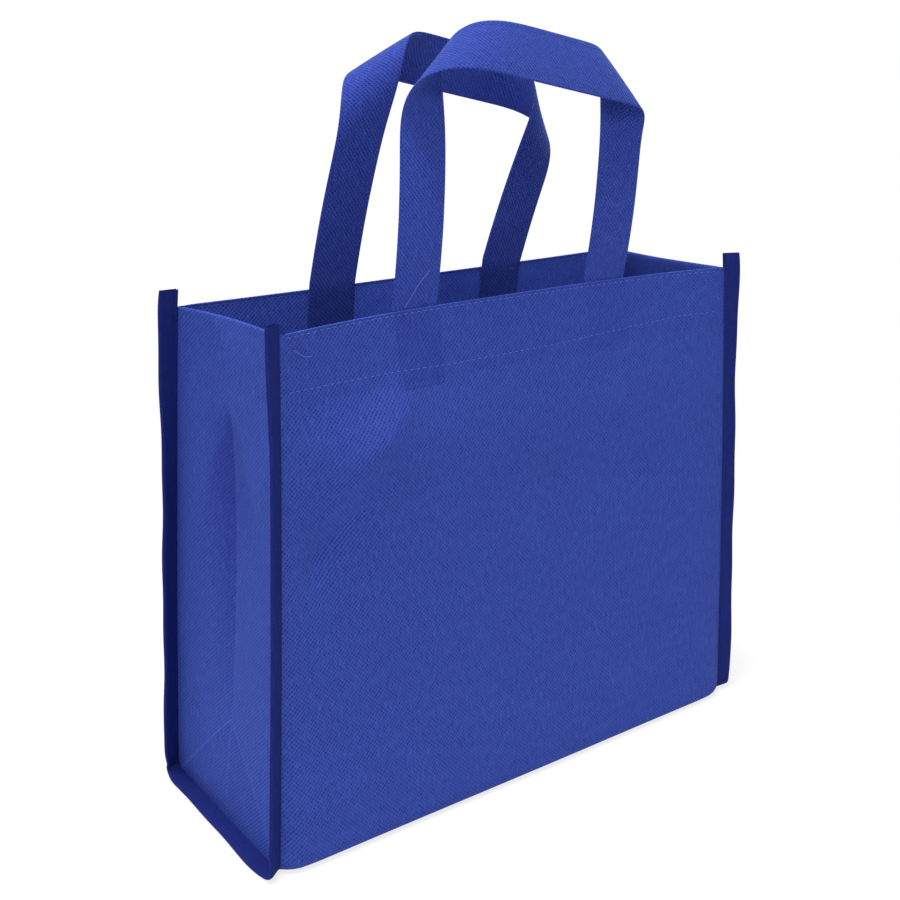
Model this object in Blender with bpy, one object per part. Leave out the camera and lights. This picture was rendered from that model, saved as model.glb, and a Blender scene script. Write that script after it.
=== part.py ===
"""Non-woven shopping bag: one body sheet, two gussets, two bound seams and two strap handles.

Metres, +Z up. The origin is on the floor under the middle of the bag, the front panel faces -Y,
and the mouth is at the top. The bag stands open on its base.
"""

import math

import bmesh
import bpy
from mathutils import Vector

# Bag body, outer faces
HEIGHT = 0.305
BASE_WIDTH = 0.356
MOUTH_WIDTH = 0.336
BASE_DEPTH = 0.133
MOUTH_DEPTH = 0.090
CORNER_RADIUS = 0.006

# Cloth
SHEET = 0.0004
TAPE = 0.0004
STRAP = 0.0012
GAP = 0.0003
HEM = 0.038
HEM_SIDE_GAP = 0.004

# Soft shape of the open bag
FRONT_BOW = 0.013
BACK_BOW = 0.003
GUSSET_BOW = 0.004
GUSSET_FOLD = 0.007
SEAM_EASE = 0.012
MOUTH_SKEW = 0.18

# Bound seams
FIN_WIDTH = 0.0113
FRONT_SPLAY = math.radians(22)
BACK_SPLAY = math.radians(2)
FLOOR_CLEARANCE = 0.0002
FRONT_TAB = 0.006
BACK_TAB = 0.010

# Strap handles
STRAP_WIDTH = 0.0318
STRAP_TAIL = 0.045
STRAIGHT_RISE = 0.09
SOFT_RISE = 0.05
FRONT_HANDLE = {
    "spacing": 0.145,
    "shift": 0.001,
    "sway": (0.025, 0.027),
    "rise": (0.151, 0.122),
    "fold": (0.018, 0.007),
    "lean": (0.035, 0.95, 1.7),
}
BACK_HANDLE = {
    "spacing": 0.130,
    "shift": -0.004,
    "sway": (0.029, 0.041),
    "rise": (0.144, 0.113),
    "fold": (0.0205, 0.016),
    "lean": (-0.04, 0.8, 2.8),
}

# Mesh density
WALL_ROWS = 9
CORNER_ROWS = 4
FLOOR_ROWS = 4
PANEL_COLUMNS = 10
HEM_ROWS = 2
STRAP_COLUMNS = 4
STRAP_STEP = 0.0035
SOFTEN_PASSES = 18

PANEL_BLUE = (0.050, 0.080, 0.330)
HANDLE_BLUE = (0.045, 0.072, 0.310)
NAVY = (0.010, 0.016, 0.110)

LAYER = SHEET + GAP
FIN_LAYER = LAYER / 2
TAPE_LAYER = FIN_LAYER + SHEET / 2 + GAP + TAPE / 2
FIN_INSET = FLOOR_CLEARANCE + TAPE / 2 + TAPE_LAYER
FLANGE_WIDTH = FIN_WIDTH - TAPE_LAYER - GAP
TAPE_START = SHEET / 2 + GAP + TAPE / 2


def blend(a, b, t):
    return a + (b - a) * t


def ease(t):
    t = min(max(t, 0.0), 1.0)
    return t * t * (3 - 2 * t)


def half_width(z):
    return blend(BASE_WIDTH, MOUTH_WIDTH, z / HEIGHT) / 2


def half_depth(z):
    return blend(BASE_DEPTH, MOUTH_DEPTH, z / HEIGHT) / 2


def mouth_bow(side, x, z):
    """How far a panel leans in from the straight line between its seams."""
    across = min(abs(x) / half_width(z), 1.0)
    bow = FRONT_BOW if side < 0 else BACK_BOW
    return bow * (1 - across**3) * max(z / HEIGHT, 0.0) ** 2.5


def panel_y(side, x, z, inset):
    """Y of the front (side -1) or back (side 1) panel, inset from its outer face."""
    return side * (half_depth(z) - inset - mouth_bow(side, x, z))


def wall_heights():
    top = HEIGHT - LAYER / 2
    return [blend(top, CORNER_RADIUS, row / WALL_ROWS) for row in range(WALL_ROWS + 1)]


def section_stations(inset):
    """Side outline of the bag from the front mouth edge, under the floor, to the back one.

    Each station is (y, z, outward y, outward z), inset from the outer face.
    """
    front = [(-(half_depth(z) - inset), z, -1.0, 0.0) for z in wall_heights()]
    centre = half_depth(CORNER_RADIUS) - CORNER_RADIUS
    reach = CORNER_RADIUS - inset
    for row in range(1, CORNER_ROWS + 1):
        turn = math.pi / 2 * row / CORNER_ROWS
        out_y = -math.cos(turn)
        out_z = -math.sin(turn)
        front.append((-centre + reach * out_y, CORNER_RADIUS + reach * out_z, out_y, out_z))
    floor = [(blend(-centre, centre, row / FLOOR_ROWS), inset, 0.0, -1.0) for row in range(1, FLOOR_ROWS)]
    back = [(-y, z, -out_y, out_z) for y, z, out_y, out_z in reversed(front)]
    return front + floor + back


def fin_point(side_x, station, along, layer):
    """A point in a seam fin: along runs out from the seam, layer runs to the outer side."""
    y, z, out_y, out_z = station
    splay = (FRONT_SPLAY if out_y < 0 else BACK_SPLAY) * out_y * out_y
    outward = Vector((0.0, out_y, out_z))
    sideways = Vector((side_x, 0.0, 0.0))
    run = sideways * math.cos(splay) + outward * math.sin(splay)
    lift = outward * math.cos(splay) - sideways * math.sin(splay)
    return Vector((side_x * half_width(z), y, z)) + run * along + lift * layer


def make_material(name, colour, roughness):
    material = bpy.data.materials.new(name)
    material.use_nodes = True
    shader = material.node_tree.nodes["Principled BSDF"]
    shader.inputs["Base Color"].default_value = (*colour, 1.0)
    shader.inputs["Roughness"].default_value = roughness
    shader.inputs["Metallic"].default_value = 0.0
    return material


def fin_reach(splay):
    """How far a fin's tape stands out past the middle of the seam, front to back."""
    centre = FIN_WIDTH - TAPE_LAYER
    return centre * math.sin(splay) + TAPE_LAYER + TAPE / 2


def settled(point):
    """Where a point of the straight bag lies as the bag stands.

    The mouth is a little skew over the base. The front fins stand out further than the back
    ones, so the bag is set back by half of that, which keeps the origin under its middle.
    """
    x, y, z = point
    set_back = (fin_reach(FRONT_SPLAY) - fin_reach(BACK_SPLAY)) / 2
    skew = MOUTH_SKEW * y * min(max(z / HEIGHT, 0.0), 1.0)
    return x - skew, y + set_back, z


def make_sheet(name, points, faces, thickness, material):
    """A cloth sheet: the middle surface from points and faces, thickened both ways."""
    mesh = bpy.data.meshes.new(name)
    mesh.from_pydata([settled(point) for point in points], [], faces)
    cleaner = bmesh.new()
    cleaner.from_mesh(mesh)
    loose = [vertex for vertex in cleaner.verts if not vertex.link_faces]
    bmesh.ops.delete(cleaner, geom=loose, context="VERTS")
    bmesh.ops.recalc_face_normals(cleaner, faces=cleaner.faces)
    cleaner.to_mesh(mesh)
    cleaner.free()
    mesh.shade_smooth()
    mesh.set_sharp_from_angle(angle=math.radians(50))
    mesh.materials.append(material)
    sheet = bpy.data.objects.new(name, mesh)
    bpy.context.scene.collection.objects.link(sheet)
    solid = sheet.modifiers.new("Thickness", "SOLIDIFY")
    solid.thickness = thickness
    solid.offset = 0.0
    solid.use_even_offset = True
    solid.use_rim = True
    return sheet


def grid_faces(rows, columns, keep=lambda row, column: True):
    faces = []
    for row in range(rows - 1):
        for column in range(columns - 1):
            if keep(row, column):
                first = row * columns + column
                faces.append((first, first + 1, first + columns + 1, first + columns))
    return faces


def panel_columns():
    """Places across the body sheet as (side, distance from the seam, share of the inner width)."""
    near = [0.0, HEM_SIDE_GAP, (HEM_SIDE_GAP + SEAM_EASE) / 2]
    left = [(-1, distance, None) for distance in near]
    middle = [(0, None, blend(-1, 1, column / PANEL_COLUMNS)) for column in range(PANEL_COLUMNS + 1)]
    right = [(1, distance, None) for distance in reversed(near)]
    return left + middle + right


def body_row(station, inset, is_hem):
    """One row of the body sheet: flange, seam, panel, seam, flange."""
    y, z, out_y, out_z = station
    wide = half_width(z)
    lean_side = -1 if y < 0 else 1
    on_wall = z >= CORNER_RADIUS
    fin_station = section_at(station, FIN_INSET)
    row = []
    for side, distance, share in panel_columns():
        if side and distance == 0.0:
            row.append(fin_point(side, fin_station, 0.0, FIN_LAYER))
            continue
        x = side * (wide - distance) if side else share * (wide - SEAM_EASE)
        to_seam = wide - abs(x)
        pull = (FIN_INSET - FIN_LAYER - SHEET / 2) * (1 - ease(to_seam / SEAM_EASE)) + inset
        bow = mouth_bow(lean_side, x, max(z, CORNER_RADIUS)) * (1 if on_wall else abs(out_y))
        row.append(Vector((x, y - out_y * pull - lean_side * bow, z - out_z * pull)))
    if is_hem:
        return [row[0], row[0]] + row + [row[-1], row[-1]]
    left = [fin_point(-1, fin_station, reach, FIN_LAYER) for reach in (FLANGE_WIDTH, FLANGE_WIDTH / 2)]
    right = [fin_point(1, fin_station, reach, FIN_LAYER) for reach in (FLANGE_WIDTH / 2, FLANGE_WIDTH)]
    return left + row + right


def section_at(station, inset):
    """The station of the outer middle surface, moved in by inset less half the sheet."""
    y, z, out_y, out_z = station
    extra = inset - SHEET / 2
    return (y - out_y * extra, z - out_z * extra, out_y, out_z)


def hem_rows(side):
    """Rows of the folded-in hem, from its free edge up and over the mouth fold."""
    rows = []
    top = HEIGHT - LAYER / 2
    for row in range(HEM_ROWS + 1):
        z = blend(HEIGHT - HEM, top, row / HEM_ROWS)
        rows.append(((side * (half_depth(z) - SHEET / 2), z, side, 0.0), LAYER))
    crest = (side * (half_depth(HEIGHT) - SHEET / 2), HEIGHT - SHEET / 2, side, 0.0)
    rows.append((crest, LAYER / 2))
    return rows


def make_body_panel(material):
    outer = [(station, 0.0) for station in section_stations(SHEET / 2)]
    rows = hem_rows(-1) + outer + list(reversed(hem_rows(1)))
    hem_count = HEM_ROWS + 2
    points = []
    for index, (station, inset) in enumerate(rows):
        is_hem = index < hem_count or index >= len(rows) - hem_count
        points += body_row(station, inset, is_hem)
    columns = len(points) // len(rows)

    def keep(row, column):
        in_hem = row < hem_count or row >= len(rows) - hem_count - 1
        return not in_hem or 3 <= column < columns - 4

    faces = grid_faces(len(rows), columns, keep)
    return make_sheet("body_panel", points, faces, SHEET, material)


def gusset_x(side_x, across, z):
    """X of a gusset's middle surface. across runs from -1 at the front seam to 1 at the back."""
    up = max(z / HEIGHT, 0.0)
    bow = GUSSET_BOW * (1 - across * across) * up**3
    fold = GUSSET_FOLD * (1 - abs(across)) * math.sin(math.pi * min(up, 1.0)) ** 2
    return side_x * (half_width(z) - bow - fold)


def make_gusset(name, side_x, material):
    stations = section_stations(FIN_INSET + FIN_LAYER)
    foot = stations[WALL_ROWS:-WALL_ROWS]
    edge_y = abs(foot[0][0])
    heights = wall_heights()
    wall_share = [(z - CORNER_RADIUS) / (HEIGHT - CORNER_RADIUS) for z in heights]
    points = []
    for share in wall_share:
        for y, z_foot, out_y, out_z in foot:
            z = z_foot + (HEIGHT - z_foot) * share
            taper = (half_depth(z) - FIN_INSET - FIN_LAYER) / edge_y
            y_here = y * (taper if z > CORNER_RADIUS else 1.0)
            on_edge = z_foot + (HEIGHT - z_foot) * share
            points.append(Vector((gusset_x(side_x, y / edge_y, on_edge), y_here, z)))
    columns = len(foot)
    rows = len(heights)
    faces = grid_faces(rows, columns)

    # Folded-in hem along the mouth
    first_hem = len(points)
    inner = range(CORNER_ROWS, columns - CORNER_ROWS)
    for drop, inset in ((0.0, LAYER / 2), (LAYER / 2, LAYER), (HEM / 2, LAYER), (HEM, LAYER)):
        z = HEIGHT - SHEET / 2 - drop if drop == 0.0 else HEIGHT - LAYER / 2 - drop
        for column in inner:
            y = foot[column][0] * (half_depth(z) - FIN_INSET - FIN_LAYER) / edge_y
            x = gusset_x(side_x, foot[column][0] / edge_y, z) - side_x * inset
            points.append(Vector((x, y, z)))
    wide = len(inner)
    for column in range(wide - 1):
        start = CORNER_ROWS + column
        crest = first_hem + column
        faces.append((start, start + 1, crest + 1, crest))
    faces += [tuple(first_hem + index for index in face) for face in grid_faces(4, wide)]

    # Flange that runs out between the body sheet and the tape
    border = [row * columns for row in range(rows)]
    border += [(rows - 1) * columns + column for column in range(1, columns - 1)]
    border += [row * columns + columns - 1 for row in reversed(range(rows))]
    fin_stations = section_stations(FIN_INSET)
    for index, station in zip(border, fin_stations):
        points[index] = fin_point(side_x, station, 0.0, -FIN_LAYER)
    ring = border
    for reach in (FLANGE_WIDTH / 2, FLANGE_WIDTH):
        start = len(points)
        points += [fin_point(side_x, station, reach, -FIN_LAYER) for station in fin_stations]
        outer = list(range(start, start + len(fin_stations)))
        faces += [(ring[i], ring[i + 1], outer[i + 1], outer[i]) for i in range(len(ring) - 1)]
        ring = outer
    return make_sheet(name, points, faces, SHEET, material)


def tape_section():
    """The folded tape's section as (along, layer), from its outer edge round the fold."""
    centre = FIN_WIDTH - TAPE_LAYER
    section = [(TAPE_START, TAPE_LAYER), ((TAPE_START + centre) / 2, TAPE_LAYER)]
    for row in range(5):
        turn = math.pi * row / 4
        section.append((centre + TAPE_LAYER * math.sin(turn), TAPE_LAYER * math.cos(turn)))
    section += [((TAPE_START + centre) / 2, -TAPE_LAYER), (TAPE_START, -TAPE_LAYER)]
    return section


def tab_station(station, rise):
    y, z, out_y, out_z = station
    top = HEIGHT + rise
    return (y * (half_depth(top) - FIN_INSET) / (half_depth(z) - FIN_INSET), top, out_y, out_z)


def make_binding(name, side_x, material):
    stations = section_stations(FIN_INSET)
    stations.insert(0, tab_station(stations[0], FRONT_TAB))
    stations.append(tab_station(stations[-1], BACK_TAB))
    section = tape_section()
    points = [fin_point(side_x, station, *place) for station in stations for place in section]
    faces = grid_faces(len(stations), len(section))
    return make_sheet(name, points, faces, TAPE, material)


def folded_strap_point(foot, corner, far_corner, radius, along, across):
    """Where a flat strap point lies once the strap is folded over its corner.

    The places are (x, z). The strap climbs from foot to corner, turns there round a soft
    diagonal fold and runs on to far_corner. Returns x, z and the share of the fold's depth
    that the point has been carried away from the climbing part.
    """
    climb = (corner - foot).normalized()
    run = (far_corner - corner).normalized()
    right = Vector((climb.y, -climb.x))
    ahead = (climb - run).normalized()
    flat = foot + climb * along + right * across
    past = (flat - corner).dot(ahead)
    reach = math.pi * radius / 2
    turn = min(max((past + reach) / radius, 0.0), math.pi)
    if past < -reach:
        folded = past
    elif past > reach:
        folded = -past
    else:
        folded = radius * math.sin(turn) - reach
    place = flat + ahead * (folded - past)
    return place.x, place.y, (1 - math.cos(turn)) / 2


def strap_places(climb_length):
    """Distances from the mouth along half a strap: the sewn tail, the climb and half the run."""
    places = [-STRAP_TAIL, -HEM, -STRAP_TAIL / 2, 0.0]
    count = max(int(round(climb_length / STRAP_STEP)), 4)
    places += [climb_length * step / count for step in range(1, count + 1)]
    return places


def soften(rows):
    """Rows of strap points with the fold's hard tips rounded off. The lower legs stay."""
    softer = []
    for index, row in enumerate(rows):
        if min(point.z for point in row) < HEIGHT + SOFT_RISE:
            softer.append(row)
            continue
        before = rows[index - 1]
        after = rows[index + 1]
        softer.append([(a + b * 2 + c) / 4 for a, b, c in zip(before, row, after)])
    return softer


def make_handle(name, side_y, handle, material):
    inset = 2 * SHEET + 2 * GAP + STRAP / 2
    feet = [handle["shift"] + side * handle["spacing"] / 2 for side in (-1, 1)]
    corners = []
    for foot, sway, rise in zip(feet, handle["sway"], handle["rise"]):
        corners.append(Vector((foot + sway, HEIGHT + rise)))
    lean, lean_more, nod = handle["lean"]
    rows = []
    for index, foot_x in enumerate(feet):
        foot = Vector((foot_x, HEIGHT))
        corner = corners[index]
        far_corner = corners[1 - index]
        climb = (corner - foot).length
        half_run = (far_corner - corner).length / 2
        radius = handle["fold"][index]
        far_radius = handle["fold"][1 - index]
        half = []
        for along in strap_places(climb + half_run):
            past_corner = min(max((along - climb) / half_run, 0.0), 1.0)
            fold_depth = 2 * radius + (far_radius - radius) * past_corner
            row = []
            for column in range(STRAP_COLUMNS + 1):
                across = blend(-STRAP_WIDTH / 2, STRAP_WIDTH / 2, column / STRAP_COLUMNS)
                if along <= 0.0:
                    x, z, share = foot_x + across, HEIGHT + along, 0.0
                else:
                    x, z, share = folded_strap_point(foot, corner, far_corner, radius, along, across)
                above = max(z - HEIGHT, 0.0)
                high = max(above - STRAIGHT_RISE, 0.0)
                y = panel_y(side_y, x, min(z, HEIGHT), inset)
                y += side_y * (share * fold_depth - lean * above - lean_more * above**2 - nod * high**2)
                row.append(Vector((x, y, z)))
            half.append(row)
        rows.append(half)
    left, right = rows
    turned = [list(reversed(row)) for row in reversed(right[:-1])]
    strap_rows = left + turned
    for _ in range(SOFTEN_PASSES):
        strap_rows = soften(strap_rows)
    points = [point for row in strap_rows for point in row]
    faces = grid_faces(len(strap_rows), STRAP_COLUMNS + 1)
    return make_sheet(name, points, faces, STRAP, material)


def main():
    for thing in list(bpy.data.objects):
        bpy.data.objects.remove(thing, do_unlink=True)
    panel_cloth = make_material("panel_cloth", PANEL_BLUE, 0.75)
    handle_cloth = make_material("handle_cloth", HANDLE_BLUE, 0.7)
    binding_cloth = make_material("binding_cloth", NAVY, 0.8)
    make_body_panel(panel_cloth)
    for name, side_x in (("left", -1), ("right", 1)):
        make_gusset("gusset_" + name, side_x, panel_cloth)
        make_binding("binding_" + name, side_x, binding_cloth)
    make_handle("handle_front", -1, FRONT_HANDLE, handle_cloth)
    make_handle("handle_back", 1, BACK_HANDLE, handle_cloth)


main()
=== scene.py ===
"""Looks of the non-woven shopping bag: cloth, seams, straps, stitches, floor, lights and camera."""

import math
import random

import bpy
import numpy as np
from mathutils import Matrix, Vector


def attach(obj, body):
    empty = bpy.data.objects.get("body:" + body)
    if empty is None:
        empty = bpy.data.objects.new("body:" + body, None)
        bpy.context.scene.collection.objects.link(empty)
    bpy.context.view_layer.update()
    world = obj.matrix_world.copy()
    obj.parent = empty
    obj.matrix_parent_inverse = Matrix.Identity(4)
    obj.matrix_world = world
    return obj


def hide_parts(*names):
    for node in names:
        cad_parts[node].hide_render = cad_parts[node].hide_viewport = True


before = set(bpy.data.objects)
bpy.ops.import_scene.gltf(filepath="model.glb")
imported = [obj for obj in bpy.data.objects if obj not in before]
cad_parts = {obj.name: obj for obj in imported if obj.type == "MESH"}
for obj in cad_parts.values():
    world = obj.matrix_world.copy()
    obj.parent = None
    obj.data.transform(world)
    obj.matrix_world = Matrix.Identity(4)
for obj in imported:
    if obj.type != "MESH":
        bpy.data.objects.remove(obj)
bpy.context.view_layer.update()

# Bag shape in metres, as in the solids. A fin is a bound seam with its tape
HEIGHT = 0.305
BASE_WIDTH = 0.356
MOUTH_WIDTH = 0.336
BASE_DEPTH = 0.133
MOUTH_DEPTH = 0.090
CORNER_RADIUS = 0.006
HEM = 0.038
FRONT_BOW = 0.013
BACK_BOW = 0.003
GUSSET_BOW = 0.004
MOUTH_SKEW = 0.18
SET_BACK = 0.00175
SHEET = 0.0004
LAYER = 0.0007
TAPE = 0.0004
TAPE_LAYER = 0.00105
FIN_LAYER = 0.00035
FIN_INSET = 0.00145
FIN_WIDTH = 0.0113
FIN_EDGE = FIN_WIDTH - TAPE_LAYER
FLANGE_WIDTH = FIN_EDGE - 0.0003
FRONT_SPLAY = math.radians(22)
BACK_SPLAY = math.radians(2)
# Further turn of the fins down the walls, which the solids don't have
FRONT_TURN = 0.22
BACK_TURN = 0.40
# Front and back tab of the left (-1) and right (1) tape. The right front one is 3 mm longer than the solid's
TABS = {-1: (0.006, 0.010), 1: (0.009, 0.010)}
TAPE_STITCH = 0.0026
SEAM_EASE = 0.012
HEM_SIDE_GAP = 0.004

STRAP = 0.0012
STRAP_WIDTH = 0.0318
STRAP_TAIL = 0.045
STRAIGHT_RISE = 0.09
SOFT_RISE = 0.05
STRAP_STEP = 0.0035
NET_COLUMNS = 16
SOFTEN_PASSES = 18
HANDLES = {
    "front": {
        "side": -1, "spacing": 0.145, "shift": 0.001, "sway": (0.025, 0.027), "rise": (0.151, 0.122),
        "fold": (0.018, 0.007), "lean": (0.035, 0.95, 1.7),
    },
    "back": {
        "side": 1, "spacing": 0.130, "shift": -0.004, "sway": (0.029, 0.041), "rise": (0.144, 0.113),
        "fold": (0.0205, 0.016), "lean": (-0.04, 0.8, 2.8),
    },
}

# Rows and columns of the meshes
WALL_ROWS = 84
CORNER_ROWS = 6
FLOOR_ROWS = 26
PANEL_COLUMNS = 88
HEM_ROWS = 12
GUSSET_FLOOR_ROWS = 64
GUSSET_HEM_ROWS = 10
TAPE_CORNER_ROWS = 8
TAPE_FLOOR_ROWS = 30

# Soft forms of the front panel below its hem: (height, middle in z, its width, middle in x, its width)
UNDER_HEM = HEIGHT - HEM - 0.004
SWELLS = (
    (0.0058, UNDER_HEM - 0.030, 0.024, -0.112, 0.052),
    (-0.0036, UNDER_HEM - 0.078, 0.026, -0.155, 0.026),
    (0.0034, UNDER_HEM - 0.040, 0.030, -0.010, 0.055),
    (0.0022, UNDER_HEM - 0.034, 0.030, 0.095, 0.050),
    (-0.0024, UNDER_HEM - 0.085, 0.040, 0.040, 0.090),
)
# Slanting crease below the left strap: (height, distance from its line, its width, middle in x, its width)
CREASE_POINT = (-0.075, 0.262)
CREASE_SLOPE = 0.85
CREASES = ((0.0030, 0.0, 0.016, -0.112, 0.034), (-0.0030, -0.024, 0.012, -0.140, 0.030))
FOOT_BULGE = 0.0060
Y_FOLD_TOP = 0.064
VALLEY_TOP = 0.262

# Linear colours and the radius of each thread
PANEL_BLUE = (0.036, 0.067, 0.330)
STRAP_BLUE = (0.028, 0.054, 0.310)
NAVY = (0.009, 0.017, 0.132)
THREAD_BLUE = (0.085, 0.125, 0.460)
STRAP_THREAD = (0.040, 0.068, 0.340)
TAPE_THREAD = (0.004, 0.008, 0.075)
HEM_THREAD_RADIUS = 0.00021
STRAP_THREAD_RADIUS = 0.00017
TAPE_THREAD_RADIUS = 0.00018

# Studio: each lamp as (name, place, diameter, watts)
LAMP_TARGET = (0.0, 0.0, 0.2)
LAMPS = (
    ("key", (-1.7, -1.5, 1.9), 0.7, 22.0),
    ("left", (-1.1, 1.9, 1.4), 0.6, 14.0),
    ("top", (-0.2, -0.05, 2.3), 0.6, 42.0),
    ("fill", (1.6, -1.7, 1.0), 1.5, 2.5),
)
WORLD_STRENGTH = 0.46
FLOOR_REACH = 6.0
CAMERA_PLACE = (-0.48436, -0.62806 + SET_BACK, 0.4782)
CAMERA_TURN = (36.684, 15.606, 1.03)
CAMERA_LENS = 52.763
CAMERA_SHIFT = -0.1


def blend(a, b, t):
    """From a at t = 0 to b at t = 1."""
    return a + (b - a) * t


def clipped(value):
    return min(max(value, 0.0), 1.0)


def ease(t):
    """A soft step from 0 to 1."""
    t = clipped(t)
    return t * t * (3 - 2 * t)


def bump(value, centre, width):
    """A soft hill of height 1 round centre."""
    return math.exp(-(((value - centre) / width) ** 2))


def half_width(z):
    return blend(BASE_WIDTH, MOUTH_WIDTH, z / HEIGHT) / 2


def half_depth(z):
    return blend(BASE_DEPTH, MOUTH_DEPTH, z / HEIGHT) / 2


def mouth_bow(side, x, z):
    """How far a wall panel bows in towards the mouth."""
    across = min(abs(x) / half_width(z), 1.0)
    return (FRONT_BOW if side < 0 else BACK_BOW) * (1 - across**3) * max(z / HEIGHT, 0.0) ** 2.5


def settled(point):
    """The point where it ends up, with the skew of the mouth and the bag set back."""
    x, y, z = point
    return Vector((x - MOUTH_SKEW * y * clipped(z / HEIGHT), y + SET_BACK, z))


# Soft shape of the cloth

def panel_relief(side, x, z):
    """How far the cloth of a wall panel stands out from the plain shape."""
    wide = half_width(z)
    free = ease((wide - abs(x)) / 0.03) * ease(z / 0.02)
    swell = 0.0
    for high, z_middle, z_wide, x_middle, x_wide in SWELLS:
        swell += high * bump(z, z_middle, z_wide) * bump(x, x_middle, x_wide)
    from_crease = (z - CREASE_POINT[1]) - CREASE_SLOPE * (x - CREASE_POINT[0])
    for high, away, away_wide, x_middle, x_wide in CREASES:
        swell += high * bump(from_crease, away, away_wide) * bump(x, x_middle, x_wide)
    foot = FOOT_BULGE * bump(z, 0.006, 0.060) * (1 - (x / wide) ** 30)
    slope = (x + 0.9 * z) / 0.21
    swell += 0.0008 * math.sin(slope * 6.0 + 1.3) * math.sin(z / 0.055 + 0.7)
    hem_step = 0.0003 * ease((z - (HEIGHT - HEM)) / 0.002)
    return (swell * free if side < 0 else -0.4 * swell * free) + foot + hem_step


def panel_y(side, x, z, inset):
    """The y of a wall panel, inset from its outer face, before it is settled."""
    return side * (half_depth(z) - inset - mouth_bow(side, x, z) + panel_relief(side, x, z))


def gusset_valley(across, z):
    """Depth share, 0 to 1, of the gusset's old fold: a valley with a Y fold at its foot."""
    foot_top = 0.066
    apex = 0.257
    soft_edge = 0.03
    reach = blend(0.050, 0.150, (across + 1) / 2)
    threshold = clipped((z - (apex - reach)) / reach)
    parts = np.array([1 - abs(across), z / foot_top]) / soft_edge
    soft = -soft_edge * math.log(float(np.exp(-parts).sum()))
    drop = (soft - threshold) / soft_edge
    return soft_edge * math.log1p(math.exp(min(drop, 60.0)))


def gusset_x(side_x, across, z):
    """The x of a gusset at a share across it, -1 to 1, with its folds and ripples."""
    bow = GUSSET_BOW * (1 - across * across) * clipped(z / HEIGHT) ** 3
    mirrored = across if side_x < 0 else -across
    free = ease((1 - abs(across)) / 0.12)
    fold = 0.0042 * gusset_valley(mirrored, z) * free
    crease = math.exp(-mirrored / 0.15) if mirrored > 0 else math.exp(mirrored / 0.34)
    reach = ease((0.266 - z) / 0.030) * ease((z - 0.040) / 0.050)
    fold += 0.0034 * crease * reach * (0.50 + 0.50 * bump(z, 0.212, 0.045)) * free
    ripple = 0.0006 * math.sin(z / 0.031 + 2.2 * across) * (1 - across * across)
    return side_x * (half_width(z) - bow - fold + ripple)


# Mesh tools

def placed(name, data):
    """A new object in the scene."""
    thing = bpy.data.objects.new(name, data)
    bpy.context.scene.collection.objects.link(thing)
    return thing


def cloth_mesh(name, points, faces, uvs, half_thickness, material, smooth_angle=50):
    """A closed thin body round the middle surface. half_thickness may be a number or one per point."""
    mid = np.array([tuple(point) for point in points], float)
    quads = np.array(faces, int)
    a, b, c, d = (mid[quads[:, k]] for k in range(4))
    flat_normals = np.cross(c - a, d - b)
    normals = np.zeros_like(mid)
    for k in range(4):
        np.add.at(normals, quads[:, k], flat_normals)
    lengths = np.linalg.norm(normals, axis=1)
    normals /= np.maximum(lengths, 1e-15)[:, None]
    edges = {}
    for face in faces:
        for k in range(4):
            key = tuple(sorted((face[k], face[(k + 1) % 4])))
            edges[key] = edges.get(key, 0) + 1
    border = {index for key, count in edges.items() if count == 1 for index in key}
    used = sorted({index for face in faces for index in face})
    thickness = np.broadcast_to(np.asarray(half_thickness, float), (len(mid),))
    top, bottom, verts = {}, {}, []
    for index in used:
        top[index] = len(verts)
        if index in border:
            verts.append(mid[index])
            bottom[index] = top[index]
        else:
            verts.append(mid[index] + normals[index] * thickness[index])
            bottom[index] = len(verts)
            verts.append(mid[index] - normals[index] * thickness[index])
    polygons = [tuple(top[i] for i in face) for face in faces]
    polygons += [tuple(bottom[i] for i in reversed(face)) for face in faces]
    mesh = bpy.data.meshes.new(name)
    mesh.from_pydata([tuple(vert) for vert in verts], [], polygons)
    layer = mesh.uv_layers.new(name="cloth")
    per_loop = [uvs[i] for face in faces for i in face]
    per_loop += [uvs[i] for face in faces for i in reversed(face)]
    layer.data.foreach_set("uv", np.array(per_loop, np.float32).ravel())
    mesh.shade_smooth()
    mesh.set_sharp_from_angle(angle=math.radians(smooth_angle))
    mesh.materials.append(material)
    return placed(name, mesh)


def grid_faces(rows, columns, start=0, keep=lambda row, column: True):
    """Quads of a grid of points that begins at index start."""
    faces = []
    for row in range(rows - 1):
        for column in range(columns - 1):
            if keep(row, column):
                first = start + row * columns + column
                faces.append((first, first + 1, first + columns + 1, first + columns))
    return faces


def fin_point(side_x, station, along, layer):
    """A point of a bound seam: along it from the corner, and a layer above its middle."""
    y, z, out_y, out_z = station
    if out_y < 0:
        splay = FRONT_SPLAY - side_x * FRONT_TURN * ease((HEIGHT - z) / 0.08)
    else:
        splay = BACK_SPLAY - BACK_TURN * ease((HEIGHT + 0.01 - z) / 0.15)
    splay *= out_y**4
    trim = 0.12 if y < 0 else 0.30
    along *= 1 - trim * bump(z, 0.0, 0.011) * bump(abs(y), BASE_DEPTH / 2, 0.011)
    outward = Vector((0.0, out_y, out_z))
    sideways = Vector((side_x, 0.0, 0.0))
    run = sideways * math.cos(splay) + outward * math.sin(splay)
    lift = outward * math.cos(splay) - sideways * math.sin(splay)
    return Vector((side_x * half_width(z), y, z)) + run * along + lift * layer


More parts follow.
